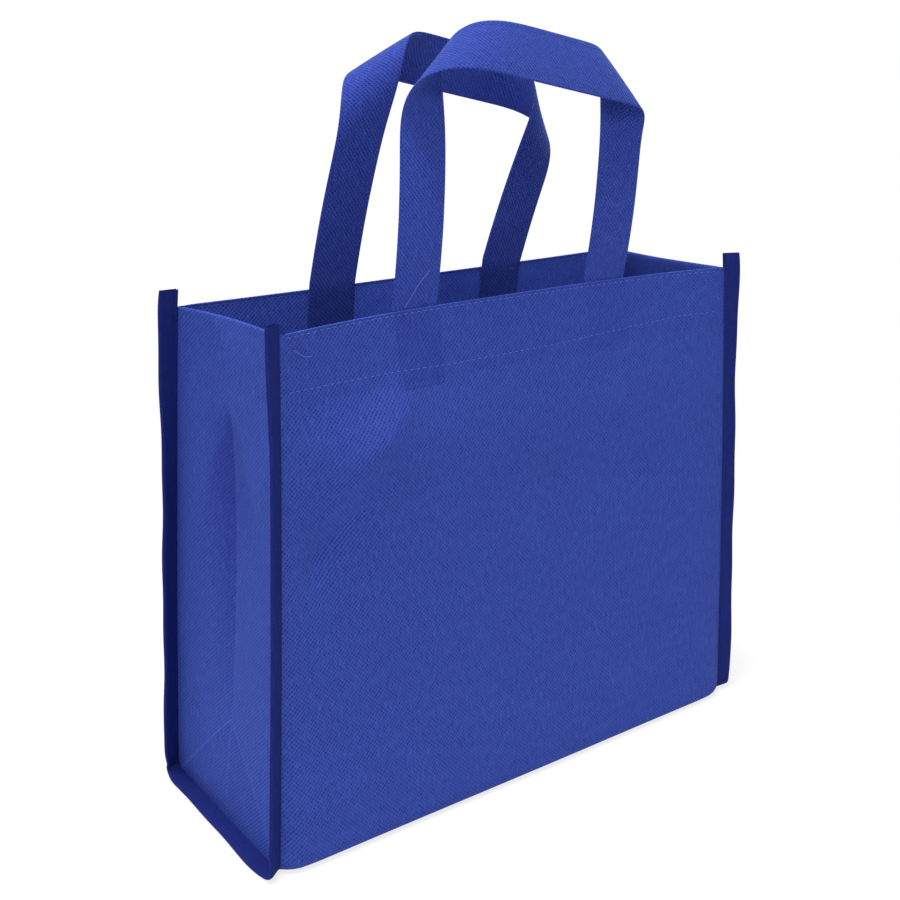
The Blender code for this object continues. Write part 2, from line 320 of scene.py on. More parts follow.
def stations(inset, wall_rows, corner_rows, floor_rows):
    """Side outline of the bag as (y, z, outward y, outward z), from front mouth to back mouth."""
    top = HEIGHT - LAYER / 2
    front = []
    for row in range(wall_rows + 1):
        z = blend(top, CORNER_RADIUS, row / wall_rows)
        front.append((-(half_depth(z) - inset), z, -1.0, 0.0))
    centre = half_depth(CORNER_RADIUS) - CORNER_RADIUS
    reach = CORNER_RADIUS - inset
    for row in range(1, corner_rows + 1):
        turn = math.pi / 2 * row / corner_rows
        out_y, out_z = -math.cos(turn), -math.sin(turn)
        front.append((-centre + reach * out_y, CORNER_RADIUS + reach * out_z, out_y, out_z))
    shares = [row / floor_rows for row in range(1, floor_rows)]
    floor = [(blend(-centre, centre, share), inset, 0.0, -1.0) for share in shares]
    back = [(-y, z, -out_y, out_z) for y, z, out_y, out_z in reversed(front)]
    return front + floor + back


def moved_in(station, inset):
    """A station of the body sheet, taken to a greater inset."""
    y, z, out_y, out_z = station
    extra = inset - SHEET / 2
    return (y - out_y * extra, z - out_z * extra, out_y, out_z)


# Body sheet

RIM_PUFF = 0.0006


def panel_places():
    """Columns as (side, distance from the seam, share of the inner width)."""
    near = [0.0, 0.0015, HEM_SIDE_GAP, (HEM_SIDE_GAP + SEAM_EASE) / 2]
    left = [(-1, distance, None) for distance in near]
    middle = [(0, None, blend(-1, 1, column / PANEL_COLUMNS)) for column in range(PANEL_COLUMNS + 1)]
    right = [(1, distance, None) for distance in reversed(near)]
    return left + middle + right


def body_row(station, inset, is_hem):
    """Points across the body sheet, with the flanges of both seams at its ends."""
    y, z, out_y, out_z = station
    wide = half_width(z)
    side_y = -1 if y < 0 else 1
    on_wall = z >= CORNER_RADIUS
    fin_station = moved_in(station, FIN_INSET)
    row = []
    for side, distance, share in panel_places():
        if side and distance == 0.0:
            row.append(fin_point(side, fin_station, 0.0, FIN_LAYER))
            continue
        x = side * (wide - distance) if side else share * (wide - SEAM_EASE)
        pull = (FIN_INSET - FIN_LAYER - SHEET / 2) * (1 - ease((wide - abs(x)) / SEAM_EASE)) + inset
        if on_wall:
            lean = mouth_bow(side_y, x, z) - panel_relief(side_y, x, z)
        else:
            inland = max(half_depth(CORNER_RADIUS) - CORNER_RADIUS - abs(y), 0.0)
            lean = mouth_bow(side_y, x, CORNER_RADIUS) - panel_relief(side_y, x, CORNER_RADIUS)
            lean *= 1 - ease(inland / 0.035)
        row.append(Vector((x, y - out_y * pull - side_y * lean, z - out_z * pull)))
    if is_hem:
        return [row[0]] * 3 + row + [row[-1]] * 3
    reaches = [FLANGE_WIDTH * k / 3 for k in (3, 2, 1)]
    left = [fin_point(-1, fin_station, reach, FIN_LAYER) for reach in reaches]
    right = [fin_point(1, fin_station, reach, FIN_LAYER) for reach in reversed(reaches)]
    return left + row + right


def body_stations():
    """Every row of the body sheet as (station, inset, is hem), and the rows in one hem."""
    top = HEIGHT - LAYER / 2
    outline = stations(SHEET / 2, WALL_ROWS, CORNER_ROWS, FLOOR_ROWS)
    rows = []

    def hem(side):
        part = []
        for row in range(HEM_ROWS + 1):
            z = blend(HEIGHT - HEM, top - 0.0012, row / HEM_ROWS)
            part.append(((side * (half_depth(z) - SHEET / 2), z, side, 0.0), LAYER))
        for turn in (30, 60, 90, 120, 150):
            angle = math.radians(turn)
            z = top - 0.0007 + (LAYER / 2 + 0.0004) * math.sin(angle)
            reach = LAYER * (1 + math.cos(angle)) / 2 + RIM_PUFF * math.sin(angle) * math.cos(angle)
            part.append(((side * (half_depth(z) - SHEET / 2), z, side, 0.0), reach))
        return part

    front_hem = hem(-1)
    for station, inset in front_hem:
        rows.append((station, inset, True))
    for station in outline:
        rows.append((station, 0.0, False))
    for station, inset in reversed(hem(1)):
        rows.append((station, inset, True))
    return rows, len(front_hem)


def cloth_places(rows):
    """Distance of each row along the cut cloth, from the edge of the front hem."""
    flat = [Vector((y - out_y * inset, z)) for (y, z, out_y, _), inset, _ in rows]
    places = [0.0]
    for before, after in zip(flat, flat[1:]):
        places.append(places[-1] + (after - before).length)
    return places


def make_body(rows, hem_count, places, material):
    points, uvs = [], []
    for (station, inset, is_hem), place in zip(rows, places):
        row = body_row(station, inset, is_hem)
        points += [settled(point) for point in row]
        uvs += [(point.x, place) for point in row]
    columns = len(points) // len(rows)

    def keep(row, column):
        """The hems stop short of the seams."""
        in_hem = row < hem_count or row >= len(rows) - hem_count - 1
        return not in_hem or 5 <= column < columns - 6

    faces = grid_faces(len(rows), columns, keep=keep)
    return cloth_mesh("body_cloth", points, faces, uvs, SHEET / 2, material)


# Gussets

def make_gusset(name, side_x, material):
    """A gusset sheet as a grid, its last row bent to follow the foot of the bag."""
    outline = stations(FIN_INSET + FIN_LAYER, WALL_ROWS, CORNER_ROWS, GUSSET_FLOOR_ROWS)
    foot = outline[WALL_ROWS:-WALL_ROWS]
    edge_y = abs(foot[0][0])
    heights = [station[1] for station in outline[:WALL_ROWS + 1]]
    points, uvs = [], []
    for z_level in heights:
        share = (z_level - CORNER_RADIUS) / (HEIGHT - CORNER_RADIUS)
        for y, z_foot, out_y, out_z in foot:
            z = z_foot + (HEIGHT - z_foot) * share
            taper = (half_depth(z) - FIN_INSET - FIN_LAYER) / edge_y
            y_here = y * (taper if z > CORNER_RADIUS else 1.0)
            points.append(Vector((gusset_x(side_x, y / edge_y, z), y_here, z)))
            uvs.append((y_here, z))
    columns = len(foot)
    rows = len(heights)
    faces = grid_faces(rows, columns)

    # Folded-in hem along the mouth
    first_hem = len(points)
    inner = range(CORNER_ROWS, columns - CORNER_ROWS)
    drops = [(-0.0001, LAYER / 2), (0.0006, LAYER)]
    drops += [(HEM * k / GUSSET_HEM_ROWS, LAYER) for k in range(1, GUSSET_HEM_ROWS + 1)]
    for drop, inset in drops:
        z = HEIGHT - LAYER / 2 - drop
        for column in inner:
            y = foot[column][0] * (half_depth(z) - FIN_INSET - FIN_LAYER) / edge_y
            x = gusset_x(side_x, foot[column][0] / edge_y, z) - side_x * inset
            points.append(Vector((x, y, z)))
            uvs.append((y, 2 * HEIGHT - z))
    wide = len(inner)
    for column in range(wide - 1):
        start = CORNER_ROWS + column
        faces.append((start, start + 1, first_hem + column + 1, first_hem + column))
    faces += grid_faces(len(drops), wide, start=first_hem)

    # Flange between the body sheet and the tape
    border = [row * columns for row in range(rows)]
    border += [(rows - 1) * columns + column for column in range(1, columns - 1)]
    border += [row * columns + columns - 1 for row in reversed(range(rows))]
    fin_stations = stations(FIN_INSET, WALL_ROWS, CORNER_ROWS, GUSSET_FLOOR_ROWS)
    for index, station in zip(border, fin_stations):
        points[index] = fin_point(side_x, station, 0.0, -FIN_LAYER)
    ring = border
    for reach in (FLANGE_WIDTH / 2, FLANGE_WIDTH):
        start = len(points)
        for station in fin_stations:
            points.append(fin_point(side_x, station, reach, -FIN_LAYER))
            uvs.append((station[0], station[1]))
        outer = list(range(start, start + len(fin_stations)))
        faces += [(ring[i], ring[i + 1], outer[i + 1], outer[i]) for i in range(len(ring) - 1)]
        ring = outer
    if side_x > 0:
        faces = [tuple(reversed(face)) for face in faces]
    points = [settled(point) for point in points]
    return cloth_mesh(name, points, faces, uvs, SHEET / 2, material)


# Binding tape

def tape_stations(side_x):
    """The outline that a tape follows, with the tabs that stand above the mouth."""
    outline = stations(FIN_INSET, WALL_ROWS, TAPE_CORNER_ROWS, TAPE_FLOOR_ROWS)
    ends = []
    for station, rise in zip((outline[0], outline[-1]), TABS[side_x]):
        y, z, out_y, out_z = station
        extra = []
        for share in (0.5, 1.0):
            top = HEIGHT + rise * share
            y_top = y * (half_depth(top) - FIN_INSET) / (half_depth(z) - FIN_INSET)
            extra.append((y_top, top, out_y, out_z))
        ends.append(extra)
    return list(reversed(ends[0])) + outline + ends[1]


def tape_point(side_x, station, run, along, layer):
    """A point of the tape, with the slight wave that the sewn edge has."""
    wave = 0.00025 * math.sin(run / 0.021 + side_x) + 0.00015 * math.sin(run / 0.0083)
    share = along / FIN_EDGE
    return fin_point(side_x, station, along + wave * share, layer + 0.6 * wave * share)


def tape_profile():
    """Section of the folded tape as (along, layer), pinched in at its stitches."""
    start = SHEET / 2 + 0.0003 + TAPE / 2
    face = []
    for along in (start, 0.0012, 0.0019, TAPE_STITCH, 0.0033, 0.0045, 0.006, 0.0075, 0.009):
        pinch = 0.00016 * bump(along, TAPE_STITCH, 0.0007)
        face.append((along, TAPE_LAYER - pinch))
    turns = [math.pi * row / 8 for row in range(9)]
    fold = [(FIN_EDGE + TAPE_LAYER * math.sin(turn), TAPE_LAYER * math.cos(turn)) for turn in turns]
    return face + fold + [(along, -layer) for along, layer in reversed(face)]


def path_runs(path):
    """Distance along a path to each of its points, by their first two numbers."""
    runs = [0.0]
    for before, after in zip(path, path[1:]):
        runs.append(runs[-1] + math.hypot(after[0] - before[0], after[1] - before[1]))
    return runs


def make_tape(name, side_x, material):
    """A tape and its flat size."""
    outline = tape_stations(side_x)
    runs = path_runs(outline)
    profile = tape_profile()
    widths = path_runs(profile)
    points, uvs = [], []
    for station, run in zip(outline, runs):
        for (along, layer), width in zip(profile, widths):
            points.append(settled(tape_point(side_x, station, run, along, layer)))
            uvs.append((width, run))
    faces = grid_faces(len(outline), len(profile))
    return cloth_mesh(name, points, faces, uvs, TAPE / 2, material), (widths[-1], runs[-1])


# Straps

def folded(foot, corner, far_corner, radius, along, across):
    """x and z on a flat strap folded over at a corner, and how far it has turned, 0 to 1."""
    climb = (corner - foot).normalized()
    run = (far_corner - corner).normalized()
    right = Vector((climb.y, -climb.x))
    ahead = (climb - run).normalized()
    flat = foot + climb * along + right * across
    past = (flat - corner).dot(ahead)
    reach = math.pi * radius / 2
    turn = min(max((past + reach) / radius, 0.0), math.pi)
    if past < -reach:
        place = past
    elif past > reach:
        place = -past
    else:
        place = radius * math.sin(turn) - reach
    point = flat + ahead * (place - past)
    return point.x, point.y, (1 - math.cos(turn)) / 2


def spline_span(place, count):
    """Four row numbers round place and their weights, for a smooth curve through the rows."""
    place = min(max(place, 0.0), count - 1.0)
    first = min(int(place), count - 2)
    t = place - first
    weights = np.array([
        -t + 2 * t**2 - t**3,
        2 - 5 * t**2 + 3 * t**3,
        t + 4 * t**2 - 3 * t**3,
        -(t**2) + t**3,
    ]) / 2
    return np.clip(np.arange(first - 1, first + 3), 0, count - 1), weights


class Strap:
    """One strap handle: places on its middle surface by distance along it and across it."""

    def __init__(self, handle):
        self.side = handle["side"]
        self.feet = [handle["shift"] + side * handle["spacing"] / 2 for side in (-1, 1)]
        self.corners = []
        for foot, sway, rise in zip(self.feet, handle["sway"], handle["rise"]):
            self.corners.append(Vector((foot + sway, HEIGHT + rise)))
        self.fold = handle["fold"]
        self.lean = handle["lean"]
        self.half_run = (self.corners[0] - self.corners[1]).length / 2
        self.climbs = []
        for foot, corner in zip(self.feet, self.corners):
            self.climbs.append((corner - Vector((foot, HEIGHT))).length)
        self.halves = [climb + self.half_run for climb in self.climbs]
        self.length = 2 * STRAP_TAIL + sum(self.halves)
        self.net = self.softened_net()

    def plain_point(self, place, across):
        """place runs from 0 at the left sewn end to length at the right one."""
        first = place <= STRAP_TAIL + self.halves[0]
        index = 0 if first else 1
        along = place - STRAP_TAIL if first else self.length - STRAP_TAIL - place
        sign = 1 if first else -1
        foot_x = self.feet[index]
        radius, far_radius = self.fold[index], self.fold[1 - index]
        past = clipped((along - self.climbs[index]) / self.half_run)
        depth = 2 * radius + (far_radius - radius) * past
        if along <= 0.0:
            x, z, share = foot_x + sign * across, HEIGHT + along, 0.0
        else:
            foot = Vector((foot_x, HEIGHT))
            x, z, share = folded(
                foot, self.corners[index], self.corners[1 - index], radius, along, sign * across
            )
        above = max(z - HEIGHT, 0.0)
        high = max(above - STRAIGHT_RISE, 0.0)
        lean, lean_more, nod = self.lean
        inset = 2 * LAYER + STRAP / 2
        y = panel_y(self.side, x, min(z, HEIGHT), inset)
        y += self.side * (share * depth - lean * above - lean_more * above**2 - nod * high**2)
        return settled((x, y, z))

    def softened_net(self):
        """Rows of points along the strap, with the folds' hard tips rounded off above the legs."""
        count = int(round(self.length / STRAP_STEP))
        net = np.zeros((count + 1, NET_COLUMNS + 1, 3))
        for row in range(count + 1):
            for column in range(NET_COLUMNS + 1):
                across = (column / NET_COLUMNS - 0.5) * STRAP_WIDTH
                net[row, column] = self.plain_point(self.length * row / count, across)
        soft = net[:, :, 2].min(axis=1) >= HEIGHT + SOFT_RISE
        for _ in range(SOFTEN_PASSES):
            softer = net.copy()
            softer[1:-1] = (net[:-2] + 2 * net[1:-1] + net[2:]) / 4
            net = np.where(soft[:, None, None], softer, net)
        return net

    def point(self, place, across):
        """A point of the softened strap."""
        rows, columns = self.net.shape[:2]
        row, row_weights = spline_span(place / self.length * (rows - 1), rows)
        column, column_weights = spline_span((across / STRAP_WIDTH + 0.5) * (columns - 1), columns)
        patch = self.net[np.ix_(row, column)]
        return Vector(np.einsum("i,j,ijk->k", row_weights, column_weights, patch))

    def frame_at(self, place, across):
        """Point, direction along, and normal of the strap's outer face."""
        step = 0.0004
        along = self.point(place + step, across) - self.point(place - step, across)
        wide = self.point(place, across + step) - self.point(place, across - step)
        return self.point(place, across), along.normalized(), along.cross(wide).normalized()


def make_strap(name, strap, material):
    """A strap with thin rounded edges and a groove along each row of stitches."""
    rows = int(strap.length / 0.0016)
    angles = [math.pi * (k / 18 - 0.5) for k in range(19)]
    shares = [math.copysign(abs(math.sin(angle)) ** 0.8, math.sin(angle)) for angle in angles]
    points, uvs, halves = [], [], []
    for row in range(rows + 1):
        place = strap.length * row / rows
        for share in shares:
            across = share * STRAP_WIDTH / 2
            edge = (STRAP_WIDTH / 2 - abs(across)) / 0.0011
            thick = STRAP / 2 * clipped(edge) ** 0.5
            thick *= 1 - 0.28 * bump(abs(across), STRAP_WIDTH / 2 - 0.0032, 0.0011)
            points.append(strap.point(place, across))
            uvs.append((across, place))
            halves.append(thick)
    faces = grid_faces(rows + 1, len(shares))
    return cloth_mesh(name, points, faces, uvs, halves, material, smooth_angle=75)


# Stitches

def stitch_mesh(name, rows, radius, material):
    """Short raised stitches. Each is (centre, direction, normal, length)."""
    verts, faces = [], []
    profile = ((-1.0, 0.15), (-0.82, 0.8), (-0.3, 1.0), (0.3, 1.0), (0.82, 0.8), (1.0, 0.15))
    around = 6
    for centre, direction, normal, length in rows:
        side = direction.cross(normal).normalized()
        start = len(verts)
        for share, size in profile:
            sink = radius * 1.1 * share**4
            middle = centre + direction * (share * length / 2) - normal * sink
            for k in range(around):
                angle = 2 * math.pi * k / around
                offset = side * math.cos(angle) + normal * (math.sin(angle) * 0.8)
                verts.append(middle + offset * (radius * size))
        count = len(profile)
        for ring in range(count - 1):
            for k in range(around):
                a = start + ring * around + k
                b = start + ring * around + (k + 1) % around
                faces.append((a, b, b + around, a + around))
        faces.append(tuple(start + k for k in reversed(range(around))))
        faces.append(tuple(start + (count - 1) * around + k for k in range(around)))
    mesh = bpy.data.meshes.new(name)
    mesh.from_pydata([tuple(vert) for vert in verts], [], faces)
    mesh.shade_smooth()
    mesh.materials.append(material)
    return placed(name, mesh)


def surface_frame(function, u, v, outward):
    """Point, direction of u, and outward normal of a surface."""
    step = 0.0005
    centre = function(u, v)
    along = function(u + step, v) - function(u - step, v)
    up = function(u, v + step) - function(u, v - step)
    normal = along.cross(up).normalized()
    if normal.dot(outward) < 0:
        normal = -normal
    return centre, along.normalized(), normal


def hem_line(x):
    """Height of the lower hem row, which sags a little between the seams."""
    places = (-0.16, -0.082, -0.046, 0.03, 0.129, 0.173)
    heights = (0.2735, 0.2717, 0.2700, 0.2707, 0.2757, 0.2757)
    return float(np.interp(x, places, heights))


def hem_row(side, line, inset, outward, seed):
    """Stitches along a hem at height line(x), on the panel's outer or inner face."""
    rng = random.Random(seed)
    rows = []
    pitch = 0.0046

    def surface(x, z):
        return settled((x, panel_y(side, x, z, inset), z))

    reach = half_width(HEIGHT) - 0.0035
    count = int(2 * reach / pitch)
    for k in range(count):
        x = -reach + pitch * (k + 0.5)
        z = line(x) + 0.0002 * math.sin(x / 0.05 + seed) + rng.uniform(-0.00012, 0.00012)
        centre, along, normal = surface_frame(surface, x, z, outward)
        rows.append((centre + normal * 0.00006, along, normal, 0.0027 + rng.uniform(-0.0003, 0.0003)))
    return rows


def strap_rows(strap, face, seed):
    """Stitches along both edges of a strap, on one face."""
    rng = random.Random(seed)
    rows = []
    pitch = 0.0036
    for across in (-STRAP_WIDTH / 2 + 0.0030, STRAP_WIDTH / 2 - 0.0030):
        place = 0.003
        while place < strap.length - 0.003:
            centre, along, normal = strap.frame_at(place, across)
            lifted = centre + normal * (face * (STRAP / 2 * 0.74 + 0.00008))
            rows.append((lifted, along, normal * face, 0.0023 + rng.uniform(-0.0001, 0.0001)))
            place += pitch
    return rows


def tape_rows(side_x, face):
    """Stitches along a bound seam, on one face of the tape."""
    outline = tape_stations(side_x)
    runs = path_runs(outline)
    rows = []
    pitch = 0.0034
    end_gap = 0.004
    run = end_gap
    index = 0
    layer = face * (TAPE_LAYER + TAPE / 2 - 0.00012)
    while run < runs[-1] - end_gap:
        while runs[index + 1] < run:
            index += 1
        share = (run - runs[index]) / (runs[index + 1] - runs[index])
        low, high, middle = (
            tape_point(side_x, outline[k], runs[k], TAPE_STITCH, height)
            for k, height in ((index, layer), (index + 1, layer), (index, 0.0))
        )
        point = settled(low.lerp(high, share))
        direction = (settled(high) - settled(low)).normalized()
        normal = (settled(low) - settled(middle)).normalized()
        rows.append((point, direction, normal, 0.0022))
        run += pitch
    return rows


def thread_tail(name, path, radius, material):
    """A loose end of thread."""
    curve = bpy.data.curves.new(name, "CURVE")
    curve.dimensions = "3D"
    curve.bevel_depth = radius
    curve.bevel_resolution = 2
    curve.resolution_u = 8
    spline = curve.splines.new("BEZIER")
    spline.bezier_points.add(len(path) - 1)
    for bezier, point in zip(spline.bezier_points, path):
        bezier.co = point
        bezier.handle_left_type = bezier.handle_right_type = "AUTO"
    curve.use_fill_caps = True
    curve.materials.append(material)
    return placed(name, curve)


# Materials

class Nodes:
    """Short hand for building a node tree."""

    def __init__(self, tree):
        self.tree = tree

    def put(self, socket, value):
        if isinstance(value, bpy.types.NodeSocket):
            self.tree.links.new(value, socket)
        else:
            socket.default_value = value

    def node(self, kind, output=0, **inputs):
        node = self.tree.nodes.new(kind)
        for key, value in inputs.items():
            self.put(node.inputs[key.replace("_", " ")], value)
        return node.outputs[output]

    def math(self, operation, *values):
        node = self.tree.nodes.new("ShaderNodeMath")
        node.operation = operation
        for socket, value in zip(node.inputs, values):
            self.put(socket, value)
        return node.outputs[0]

    def plus(self, a, b):
        return self.math("ADD", a, b)

    def minus(self, a, b):
        return self.math("SUBTRACT", a, b)

    def times(self, a, b):
        return self.math("MULTIPLY", a, b)

    def times_add(self, value, factor, base):
        return self.math("MULTIPLY_ADD", value, factor, base)

    def step(self, value, low, high, to_low=0.0, to_high=1.0):
        node = self.tree.nodes.new("ShaderNodeMapRange")
        node.interpolation_type = "SMOOTHSTEP"
        for socket, number in zip(node.inputs, (value, low, high, to_low, to_high)):
            self.put(socket, number)
        return node.outputs[0]

    def scale_colour(self, colour, factor):
        node = self.tree.nodes.new("ShaderNodeVectorMath")
        node.operation = "SCALE"
        self.put(node.inputs[0], colour)
        self.put(node.inputs["Scale"], factor)
        return node.outputs[0]

    def noise(self, vector, scale, detail=3.0, rough=0.5, output=0):
        return self.node(
            "ShaderNodeTexNoise", output, Vector=vector, Scale=scale, Detail=detail, Roughness=rough
        )


class MaterialNodes(Nodes):
    """The node tree of a new material."""

    def __init__(self, name):
        self.material = bpy.data.materials.new(name)
        self.material.use_nodes = True
        super().__init__(self.material.node_tree)
        self.shader = self.tree.nodes["Principled BSDF"]


def turned(nodes, vector, angle, squeeze):
    """Coordinates turned by angle and drawn out, for streaks that run one way."""
    mapping = nodes.tree.nodes.new("ShaderNodeMapping")
    mapping.inputs["Rotation"].default_value = (0.0, 0.0, angle)
    mapping.inputs["Scale"].default_value = (1.0, squeeze, 1.0)
    nodes.put(mapping.inputs["Vector"], vector)
    return mapping.outputs[0]


def cloth_material(name, colour, pitch, rib, depth, contrast, sheen, rough, zones=None, cloud=0.12):
    """Spun-bonded cloth: a staggered lattice of pressed dots, loose fibres and a cloudy tone.

    pitch is the dots' spacing and depth their depth, rib the share of slanting ribs among them.
    zones gives the painted shade and light, and the raised height, of each part of the piece.
    """
    nodes = MaterialNodes(name)
    uv_node = nodes.tree.nodes.new("ShaderNodeUVMap")
    uv_node.uv_map = "cloth"
    uv = uv_node.outputs[0]
    split = nodes.tree.nodes.new("ShaderNodeSeparateXYZ")
    nodes.put(split.inputs[0], uv)
    u, v = split.outputs[0], split.outputs[1]
    wobble = nodes.tree.nodes.new("ShaderNodeSeparateXYZ")
    nodes.put(wobble.inputs[0], nodes.noise(uv, 330.0, 2.0, output=1))
    drift_u = nodes.times(nodes.minus(wobble.outputs[0], 0.5), pitch * 0.40)
    drift_v = nodes.times(nodes.minus(wobble.outputs[1], 0.5), pitch * 0.40)
    place_u = nodes.plus(u, drift_u)
    place_v = nodes.plus(v, drift_v)
    turn = 2 * math.pi / pitch
    wave_u = nodes.math("COSINE", nodes.times(place_u, turn))
    wave_v = nodes.math("COSINE", nodes.times(place_v, turn))
    wave_rib = nodes.math("COSINE", nodes.times(nodes.plus(place_u, place_v), turn))
    dots = nodes.step(nodes.times(wave_u, wave_v), 0.10, 0.95)
    dots = nodes.times_add(nodes.step(wave_rib, -0.2, 1.0), rib, nodes.times(dots, 1 - rib))
    fibres = nodes.noise(turned(nodes, uv, 0.9, 0.35), 2200.0, 4.0, 0.65)
    clouds = nodes.noise(uv, 42.0, 4.0, 0.6)
    patches = nodes.noise(uv, 170.0, 2.0, 0.5)
    streaks = nodes.noise(turned(nodes, uv, -0.75, 0.30), 520.0, 2.0, 0.55)
    tone = nodes.times_add(nodes.minus(fibres, 0.5), 0.50, 1.0)
    tone = nodes.times_add(nodes.minus(clouds, 0.5), cloud * 2, tone)
    tone = nodes.times_add(nodes.minus(streaks, 0.5), 0.55, tone)
    strength = nodes.step(patches, 0.36, 0.64, -0.60 * contrast, -contrast)
    tone = nodes.times_add(dots, strength, tone)
    tone = nodes.times_add(nodes.step(streaks, 0.60, 0.76), 0.22, tone)
    raised = None
    if zones:
        shade, raised = zones(nodes, u, v)
        tone = nodes.times(tone, shade)
    tone = nodes.math("MAXIMUM", tone, 0.12)
    blue_tone = nodes.math("MAXIMUM", tone, nodes.times_add(tone, 0.60, 0.40))
    tint = nodes.node("ShaderNodeCombineXYZ", X=tone, Y=tone, Z=blue_tone)
    shaded = nodes.tree.nodes.new("ShaderNodeVectorMath")
    shaded.operation = "MULTIPLY"
    nodes.put(shaded.inputs[0], colour)
    nodes.put(shaded.inputs[1], tint)
    nodes.put(nodes.shader.inputs["Base Color"], shaded.outputs[0])
    roughness = nodes.step(fibres, 0.2, 0.8, rough - 0.08, rough + 0.08)
    nodes.put(nodes.shader.inputs["Roughness"], roughness)
    nodes.shader.inputs["Specular IOR Level"].default_value = 0.08
    nodes.shader.inputs["Sheen Weight"].default_value = sheen
    nodes.shader.inputs["Sheen Roughness"].default_value = 0.45
    nodes.shader.inputs["Sheen Tint"].default_value = (0.35, 0.50, 1.0, 1.0)
    height = nodes.times(dots, -depth)
    height = nodes.times_add(nodes.minus(fibres, 0.5), depth * 0.9, height)
    if raised:
        height = nodes.plus(height, raised)
    bump_node = nodes.tree.nodes.new("ShaderNodeBump")
    bump_node.inputs["Strength"].default_value = 0.9
    bump_node.inputs["Distance"].default_value = 1.0
    nodes.put(bump_node.inputs["Height"], height)
    nodes.put(nodes.shader.inputs["Normal"], bump_node.outputs[0])
    return nodes.material


def thread_material(name, colour):
    nodes = MaterialNodes(name)
    place = nodes.node("ShaderNodeTexCoord", output=3)
    twist = nodes.noise(place, 3000.0, 2.0)
    tone = nodes.times_add(nodes.minus(twist, 0.5), 0.5, 1.0)
    nodes.put(nodes.shader.inputs["Base Color"], nodes.scale_colour(colour, tone))
    nodes.shader.inputs["Roughness"].default_value = 0.65
    nodes.shader.inputs["Specular IOR Level"].default_value = 0.15
    return nodes.material


def band(nodes, value, centre, half, soft):
    """1 within half of centre, 0 outside, with a soft edge."""
    away = nodes.math("ABSOLUTE", nodes.minus(value, centre))
    return nodes.step(away, half - soft, half + soft, 1.0, 0.0)


